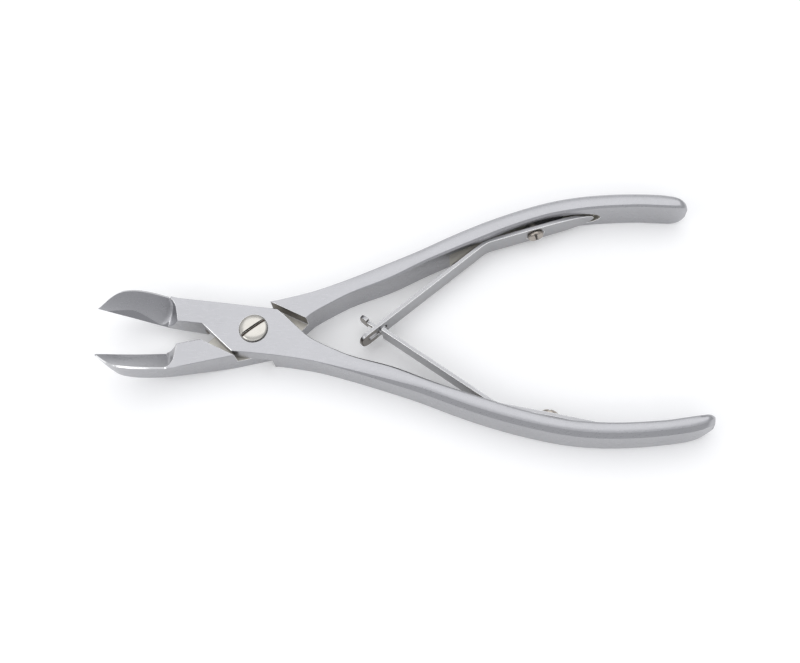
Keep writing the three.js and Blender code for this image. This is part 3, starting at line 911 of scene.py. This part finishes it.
def vary_colour(nodes, links, shader, noise, colour, dark, light):
    """The base colour wanders between a darker and a lighter tone."""
    mix = nodes.new("ShaderNodeMix")
    mix.data_type = "RGBA"
    mix.inputs["A"].default_value = (*[c * dark for c in colour], 1)
    mix.inputs["B"].default_value = (*[min(c * light, 1) for c in colour], 1)
    links.new(noise, mix.inputs["Factor"])
    links.new(mix.outputs["Result"], shader.inputs["Base Color"])


def vary_surface(nodes, links, shader, noise, smoothest, roughest, strength, distance):
    """Roughness and a fine bump follow the same noise."""
    rough = nodes.new("ShaderNodeMapRange")
    rough.inputs["From Min"].default_value = 0.3
    rough.inputs["From Max"].default_value = 0.7
    rough.inputs["To Min"].default_value = smoothest
    rough.inputs["To Max"].default_value = roughest
    links.new(noise, rough.inputs["Value"])
    links.new(rough.outputs["Result"], shader.inputs["Roughness"])
    bump = nodes.new("ShaderNodeBump")
    bump.inputs["Strength"].default_value = strength
    bump.inputs["Distance"].default_value = distance
    links.new(noise, bump.inputs["Height"])
    links.new(bump.outputs["Normal"], shader.inputs["Normal"])


def satin_steel(name, colour, roughness, turn):
    """Satin stainless steel: fine grain along the piece, and soft blotches."""
    material, nodes, links, shader = new_material(name)
    shader.inputs["Metallic"].default_value = 1.0
    place = nodes.new("ShaderNodeTexCoord")
    grain_map = nodes.new("ShaderNodeMapping")
    grain_map.inputs["Rotation"].default_value = (0, 0, turn)
    grain_map.inputs["Scale"].default_value = GRAIN_SCALE
    links.new(place.outputs["Object"], grain_map.inputs["Vector"])
    grain = add_noise(nodes, links, grain_map.outputs["Vector"], 1.0, GRAIN_DETAIL)
    cloud = add_noise(nodes, links, place.outputs["Object"], BLOTCH_SCALE, BLOTCH_DETAIL)
    vary_colour(nodes, links, shader, cloud, colour, 0.93, 1.05)
    vary_surface(nodes, links, shader, grain, roughness - 0.04, roughness + 0.05, 0.12, 0.00006)
    return material


def make_metals(node, metals, turn):
    """A piece's own satin metals, one for each slot."""
    return [satin_steel(f"{node}_{name}", colour, roughness, turn) for name, colour, roughness in metals]


def turned_metal(name, colour, roughness):
    """Nickelled screws: polished, slightly warm, with faint patches of oxide."""
    material, nodes, links, shader = new_material(name)
    shader.inputs["Metallic"].default_value = 1.0
    place = nodes.new("ShaderNodeTexCoord")
    cloud = add_noise(nodes, links, place.outputs["Object"], TARNISH_SCALE, TARNISH_DETAIL)
    vary_colour(nodes, links, shader, cloud, colour, 0.82, 1.12)
    vary_surface(nodes, links, shader, cloud, roughness - 0.05, roughness + 0.06, 0.1, 0.00005)
    return material


# ---- Stage ----


def make_floor():
    """A pale floor just under the piece, bright enough to stay near white."""
    reach = FLOOR_REACH / MM
    corners = [(-reach, -reach), (reach, -reach), (reach, reach), (-reach, reach)]
    obj = new_object("floor", [(x, y, -GROUND_GAP) for x, y in corners], [(0, 1, 2, 3)])
    material, _, _, shader = new_material("floor")
    shader.inputs["Base Color"].default_value = (*FLOOR_COLOUR, 1)
    shader.inputs["Roughness"].default_value = 0.9
    shader.inputs["Emission Color"].default_value = (1, 1, 1, 1)
    shader.inputs["Emission Strength"].default_value = FLOOR_GLOW
    obj.data.materials.append(material)


def make_world():
    """A bright studio: lighter overhead than near the horizon."""
    world = bpy.data.worlds.new("studio")
    bpy.context.scene.world = world
    world.use_nodes = True
    nodes, links = world.node_tree.nodes, world.node_tree.links
    background = nodes["Background"]
    background.inputs["Color"].default_value = (*STUDIO_COLOUR, 1)
    place = nodes.new("ShaderNodeTexCoord")
    split = nodes.new("ShaderNodeSeparateXYZ")
    strength = nodes.new("ShaderNodeMapRange")
    strength.inputs["From Min"].default_value = 0.1
    strength.inputs["From Max"].default_value = 0.95
    strength.inputs["To Min"].default_value = STUDIO_LOW
    strength.inputs["To Max"].default_value = STUDIO_HIGH
    links.new(place.outputs["Generated"], split.inputs["Vector"])
    links.new(split.outputs["Z"], strength.inputs["Value"])
    links.new(strength.outputs["Result"], background.inputs["Strength"])


def make_lights():
    """Soft rectangular lights, all turned to the middle of the piece."""
    for name, setup in LIGHTS.items():
        light = bpy.data.lights.new(name, "AREA")
        light.shape = "RECTANGLE"
        light.size, light.size_y = setup["size"]
        light.energy = setup["power"]
        obj = bpy.data.objects.new(name, light)
        bpy.context.scene.collection.objects.link(obj)
        obj.location = setup["place"]
        aim = Vector(LIGHT_TARGET) - Vector(setup["place"])
        obj.rotation_euler = aim.to_track_quat("-Z", "Y").to_euler()


# ---- Pieces ----


def finish_piece(obj, materials, node):
    """Gives a piece its materials and hides the CAD node that it stands for."""
    for material in materials:
        obj.data.materials.append(material)
    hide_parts(node)


def add_levers():
    """Both levers, each with its five metals."""
    for node, body, on_top in (("lever_a", "front_lever", True), ("lever_b", "back_lever", False)):
        turn = math.radians(HALF_OPEN if on_top else -HALF_OPEN)
        materials = make_metals(node, LEVER_METALS, turn)
        obj = make_lever(node + "_fine", on_top)
        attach(obj, body)
        finish_piece(obj, materials, node)


def add_leaves():
    """Both leaf springs, turned open, each with its three metals."""
    for node, lever, body, outline, side in (
        ("upper_spring", "back_lever", "slotted_leaf", slotted_outline(), 1),
        ("lower_spring", "front_lever", "hooked_leaf", hooked_outline(), -1),
    ):
        obj = make_leaf(node + "_fine", outline, side > 0)
        if side < 0:
            mirror_y(obj)
        turn_about_z(obj, side * math.radians(HALF_OPEN))
        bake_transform(obj)
        turn = -side * (math.radians(HALF_OPEN) + LEAF_BLADE_TURN)
        materials = make_metals(node, LEAF_METALS, turn)
        finish_piece(obj, materials, node)


def add_screws():
    """The pivot screw and the two spring screws."""
    metal = turned_metal("screw_metal", SCREW_COLOUR, 0.2)
    worn = turned_metal("spring_screw_metal", SPRING_SCREW_COLOUR, 0.22)
    rim = turned_metal("screw_edges", SCREW_COLOUR, 0.14)
    dark_slot = turned_metal("screw_slot", SLOT_COLOUR, 0.5)
    pivot = make_screw("pivot_screw_fine", PIVOT_SCREW)
    pivot.data.transform(Matrix.Translation((0, 0, PIVOT_SCREW["length"] * MM)))
    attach(pivot, "back_lever")
    finish_piece(pivot, (metal, rim, dark_slot), "pivot_screw")
    for node, body, side in (
        ("upper_spring_screw", "back_lever", 1),
        ("lower_spring_screw", "front_lever", -1),
    ):
        screw = make_screw(node + "_fine", SPRING_SCREW)
        onto_leaf(screw, SPRING_SCREW_SUNK)
        if side < 0:
            mirror_y(screw)
        turn_about_z(screw, side * math.radians(HALF_OPEN))
        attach(screw, body)
        finish_piece(screw, (worn, rim, dark_slot), node)


bpy.context.scene.view_settings.view_transform = "Standard"
make_camera()
make_world()
make_floor()
make_lights()
add_levers()
add_leaves()
add_screws()
